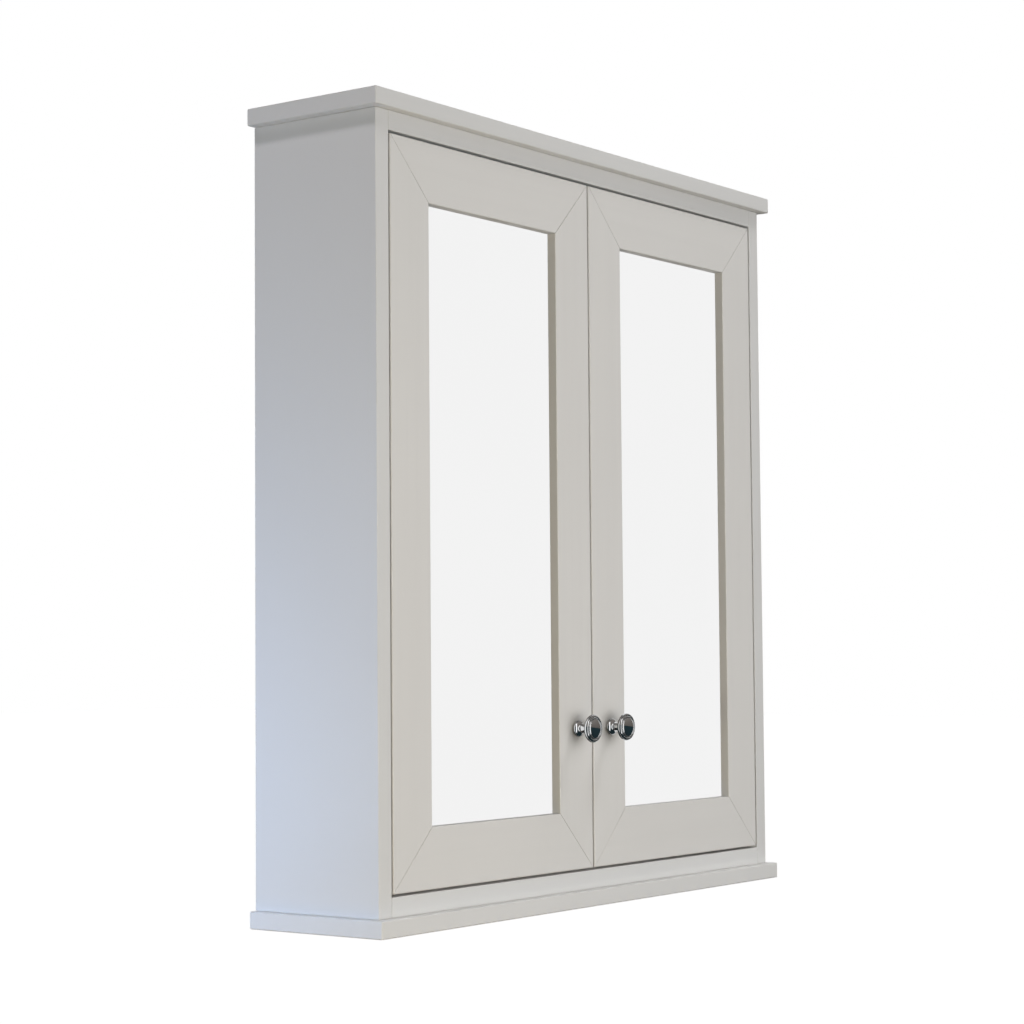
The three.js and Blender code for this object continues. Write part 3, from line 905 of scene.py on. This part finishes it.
def add_clip(bm, at, outward):
    """One stepped clip. 'at' is on the backing's edge, 'outward' the way to the frame in x and z."""
    out = Vector((outward[0], 0, outward[1]))
    along = Vector((outward[1], 0, outward[0]))
    # Each point is (distance outward, height off the backing) in millimetres.
    steps = [
        (-6.5, 0.05), (-6.5, 0.75), (-1.2, 0.75), (0.0, 1.25),
        (10.0, 1.25), (10.0, 0.5), (0.8, 0.5), (-0.3, 0.05),
    ]
    near, far = (
        [
            bm.verts.new(at + out * (d * MM) + along * half + Vector((0, h * MM, 0)))
            for d, h in steps
        ]
        for half in (-CLIP_HALF, CLIP_HALF)
    )
    bm.faces.new(near)
    bm.faces.new(list(reversed(far)))
    for i in range(len(steps)):
        j = (i + 1) % len(steps)
        bm.faces.new([near[j], near[i], far[i], far[j]])
    return at + out * (6.2 * MM) + Vector((0, 1.25 * MM, 0))


def mirror_clips(side):
    """Stepped steel clips on the back of the frame, with their ends pressed on the backing."""
    low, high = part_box(f"mirror_backing_{side}")
    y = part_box(f"lock_stile_{side}")[1].y - CLIP_INSET
    middle = (low + high) / 2
    edges = []
    for share in (0.2, 0.5, 0.8):
        z = low.z + share * (high.z - low.z)
        edges += [(Vector((low.x, y, z)), (-1, 0)), (Vector((high.x, y, z)), (1, 0))]
    for x in (middle.x - 50 * MM, middle.x + 50 * MM):
        edges += [(Vector((x, y, low.z)), (0, -1)), (Vector((x, y, high.z)), (0, 1))]
    bm = bmesh.new()
    places = [(add_clip(bm, at, outward), (0, 1, 0), HEAD_RADIUS["clip"]) for at, outward in edges]
    arris_layer(bm)
    clips = piece(f"mirror_clips_{side}", bm, [zinc], f"door_{side}", (), 20.0)
    soften(clips, 0.12)
    screws(f"clip_screws_{side}", places, zinc, f"door_{side}")


def soften(obj, width):
    """Bevels an object's edges before its other modifiers act."""
    bevel = obj.modifiers.new("bevel", "BEVEL")
    bevel.width = width * MM
    bevel.segments = 2
    bevel.limit_method = "ANGLE"
    bevel.angle_limit = math.radians(40)
    obj.modifiers.move(len(obj.modifiers) - 1, 0)


for side in SIDES:
    for level in LEVELS:
        hinge_screws(side, level)
    knob_screw(side)
    strike_screw(side)
    hanger_screws(side)
    shelf_pins(side)
    mirror_clips(side)

# The mirrors and the chrome reflect the studio and the cabinet's outer boards, and not the frames
# beside them or what is inside.
REFLECTED = (
    "cap_board", "base_board", "top_panel", "bottom_panel",
    "side_panel", "mirror_left", "mirror_right",
)
for obj in scene.objects:
    if not obj.name.startswith(REFLECTED):
        obj.visible_glossy = False

# ---------------------------------------------------------------- stage, light and camera
scene.view_settings.view_transform = "Standard"
scene.view_settings.look = "None"


def world_light():
    """White for the camera, a studio for what is glossy, and a faint even light for the rest."""
    world = bpy.data.worlds.new("studio")
    scene.world = world
    world.use_nodes = True
    nodes, links = world.node_tree.nodes, world.node_tree.links
    nodes.clear()
    path = nodes.new("ShaderNodeLightPath")
    around = nodes.new("ShaderNodeTexCoord").outputs["Generated"]

    def dot(towards):
        node = nodes.new("ShaderNodeVectorMath")
        node.operation = "DOT_PRODUCT"
        links.new(around, node.inputs[0])
        node.inputs[1].default_value = towards
        return node.outputs["Value"]

    def ramp(value, reach, stops):
        """Colours at stops from -reach to reach."""
        spread = nodes.new("ShaderNodeMapRange")
        links.new(value, spread.inputs["Value"])
        spread.inputs["From Min"].default_value = -reach
        spread.inputs["From Max"].default_value = reach
        node = nodes.new("ShaderNodeValToRGB")
        links.new(spread.outputs[0], node.inputs[0])
        elements = node.color_ramp.elements
        while len(elements) < len(stops):
            elements.new(0.5)
        for element, (at, colour) in zip(elements, stops):
            element.position = (at + reach) / (2 * reach)
            element.color = (*colour, 1.0)
        return node.outputs[0]

    def mix(amount, a, b):
        node = nodes.new("ShaderNodeMix")
        node.data_type = "RGBA"
        links.new(amount, node.inputs["Factor"])
        for colour, socket in ((a, "A"), (b, "B")):
            if isinstance(colour, bpy.types.NodeSocket):
                links.new(colour, node.inputs[socket])
            else:
                node.inputs[socket].default_value = (*colour, 1.0)
        return node.outputs["Result"]

    def facing(towards, low, high):
        """0 to 1 as the direction turns towards the one given."""
        spread = nodes.new("ShaderNodeMapRange")
        spread.interpolation_type = "SMOOTHSTEP"
        links.new(dot(Vector(towards).normalized()), spread.inputs["Value"])
        spread.inputs["From Min"].default_value = low
        spread.inputs["From Max"].default_value = high
        return spread.outputs[0]

    def maths(operation, a, b):
        node = nodes.new("ShaderNodeMath")
        node.operation = operation
        for value, socket in ((a, node.inputs[0]), (b, node.inputs[1])):
            if isinstance(value, bpy.types.NodeSocket):
                links.new(value, socket)
            else:
                socket.default_value = value
        return node.outputs[0]

    # What the chrome and the paint's sheen see: a dim room with its dark floor tilted to one side,
    # a white softbox at the front left and a pale wall behind the cabinet.
    room = ramp(dot((0.16, 0.0, 1.0)), 1.5, [
        (-1.5, (0.010, 0.014, 0.016)),
        (0.11, (0.018, 0.035, 0.042)),
        (0.15, (0.13, 0.115, 0.105)),
        (0.75, (0.22, 0.20, 0.185)),
        (1.0, (0.12, 0.12, 0.12)),
        (1.5, (0.10, 0.10, 0.10)),
    ])
    across = (0.925, -0.38, 0.0)
    from_left = facing(across, -0.22, -0.17)
    to_right = maths("SUBTRACT", 1.0, facing(across, 0.17, 0.22))
    in_front = facing((-0.38, -0.925, 0.1), 0.62, 0.70)
    strip = maths("MULTIPLY", maths("MULTIPLY", from_left, to_right), in_front)
    room = mix(strip, room, (1.4, 1.4, 1.4))
    room = mix(facing((-0.8, 0.59, 0.06), 0.80, 0.92), room, (0.50, 0.49, 0.46))
    seen = mix(path.outputs["Is Glossy Ray"], (0.02, 0.02, 0.02), room)
    clear = maths("MAXIMUM", path.outputs["Is Camera Ray"], path.outputs["Is Singular Ray"])
    seen = mix(clear, seen, (1.0, 1.0, 1.0))
    background = nodes.new("ShaderNodeBackground")
    links.new(seen, background.inputs["Color"])
    links.new(background.outputs[0], nodes.new("ShaderNodeOutputWorld").inputs["Surface"])


def softbox(name, at, target, size, colour, power):
    """A rectangular light that neither the camera nor a reflection sees."""
    light = bpy.data.lights.new(name, "AREA")
    light.shape = "RECTANGLE"
    light.size, light.size_y = size
    light.color = colour
    light.energy = power
    obj = bpy.data.objects.new(name, light)
    scene.collection.objects.link(obj)
    obj.location = at
    obj.rotation_euler = (Vector(target) - Vector(at)).to_track_quat("-Z", "Y").to_euler()
    obj.visible_camera = False
    obj.visible_glossy = False


def floor(height):
    """A floor as pale as the photo's ground, which casts no light on the cabinet."""
    surface = Surface("pale_floor", (0.9, 0.9, 0.9), 0.6)
    surface.colour(surface.blend(surface.noise(3.0, 3.0), (0.88, 0.88, 0.88), (0.92, 0.92, 0.92)))
    surface.shader.inputs["Emission Color"].default_value = (1.0, 1.0, 1.0, 1.0)
    surface.shader.inputs["Emission Strength"].default_value = 0.97
    bm = bmesh.new()
    bmesh.ops.create_grid(bm, x_segments=8, y_segments=8, size=40.0)
    mesh = bpy.data.meshes.new("floor")
    bm.to_mesh(mesh)
    bm.free()
    mesh.materials.append(surface.material)
    obj = bpy.data.objects.new("floor", mesh)
    scene.collection.objects.link(obj)
    obj.location.z = height
    obj.visible_diffuse = False
    obj.visible_glossy = False


WHITE = (1.0, 1.0, 1.0)
PALE_BLUE = (0.97, 0.985, 1.0)
DAYLIGHT = (0.42, 0.61, 1.0)
SIDE_TOP = (-0.33, -0.07, 0.0)
SIDE_MIDDLE = (-0.33, -0.05, -0.5)
SIDE_FOOT = (-0.33, -0.05, -0.64)
SIDE_FRONT = (-0.33, -0.1, -0.6)
SIDE_BELOW = (-0.33, -0.1, -0.5)
RIGHT_SIDE = (0.33, -0.07, -0.3)
DOORS = (0.0, -0.15, -0.3)
DOORS_LOW = (0.0, -0.15, -0.6)
BACK = (0.0, 0.0, -0.3)

# Name, place, what it is aimed at, its two sides, colour and power.
SOFTBOXES = (
    # the left side: a lamp above that casts the cap's shadow, and daylight from behind and below
    ("lamp", (-1.2, 0.05, 1.5), SIDE_TOP, (0.25, 0.25), (0.95, 0.925, 1.0), 11.2),
    ("window", (-1.0, 0.45, -0.45), SIDE_MIDDLE, (0.5, 0.5), DAYLIGHT, 2.1),
    ("window_low", (-0.75, 0.15, -0.6), SIDE_FOOT, (0.3, 0.08), DAYLIGHT, 1.06),
    ("side_far", (-1.7, -0.4, -0.6), SIDE_FRONT, (0.8, 0.1), (1.0, 0.955, 0.78), 7.2),
    ("bounce_left", (-1.1, -0.5, -1.5), SIDE_BELOW, (1.0, 0.9), (1.0, 0.64, 0.12), 2.75),
    # the doors: one steep light for the shadows under the cap and the knobs, and wide soft ones
    ("front_high", (0.3, -2.6, 1.6), DOORS, (1.6, 1.0), WHITE, 8.2),
    ("top_right", (1.1, -0.8, 1.6), DOORS, (0.5, 0.5), WHITE, 18.9),
    ("front_mid", (-0.3, -2.2, -0.3), DOORS, (1.8, 1.4), WHITE, 23.5),
    ("front_near", (0.1, -1.2, -0.8), DOORS_LOW, (1.8, 0.8), WHITE, 3.75),
    # what the photo's camera doesn't see
    ("right_fill", (2.0, 0.35, 0.2), RIGHT_SIDE, (0.9, 1.2), PALE_BLUE, 22.0),
    ("back_fill", (0.5, 2.2, 0.4), BACK, (1.4, 1.0), PALE_BLUE, 34.0),
)

world_light()
floor(-1.75)
for row in SOFTBOXES:
    softbox(*row)


CAMERA_AT = (-1.960447, -1.484492, -0.432236)
CAMERA_TURN = (-53.769, 3.339, -0.442)  # yaw, pitch and roll in degrees
CAMERA_LENS = 84.204


def camera():
    """The photo's camera, solved from the cabinet's straight edges."""
    yaw, pitch, roll = (math.radians(angle) for angle in CAMERA_TURN)
    level = Vector((-math.sin(yaw), math.cos(yaw), 0.0))
    forward = level * math.cos(pitch) + Vector((0.0, 0.0, math.sin(pitch)))
    right = Vector((math.cos(yaw), math.sin(yaw), 0.0))
    up = right.cross(forward)
    right, up = (
        right * math.cos(roll) + up * math.sin(roll),
        -right * math.sin(roll) + up * math.cos(roll),
    )
    data = bpy.data.cameras.new("camera")
    data.sensor_width = 36.0
    data.lens = CAMERA_LENS
    data.clip_start, data.clip_end = 0.05, 200.0
    obj = bpy.data.objects.new("camera", data)
    scene.collection.objects.link(obj)
    turn = Matrix((right, up, -forward)).transposed()
    obj.matrix_world = Matrix.Translation(CAMERA_AT) @ turn.to_4x4()
    scene.camera = obj


camera()
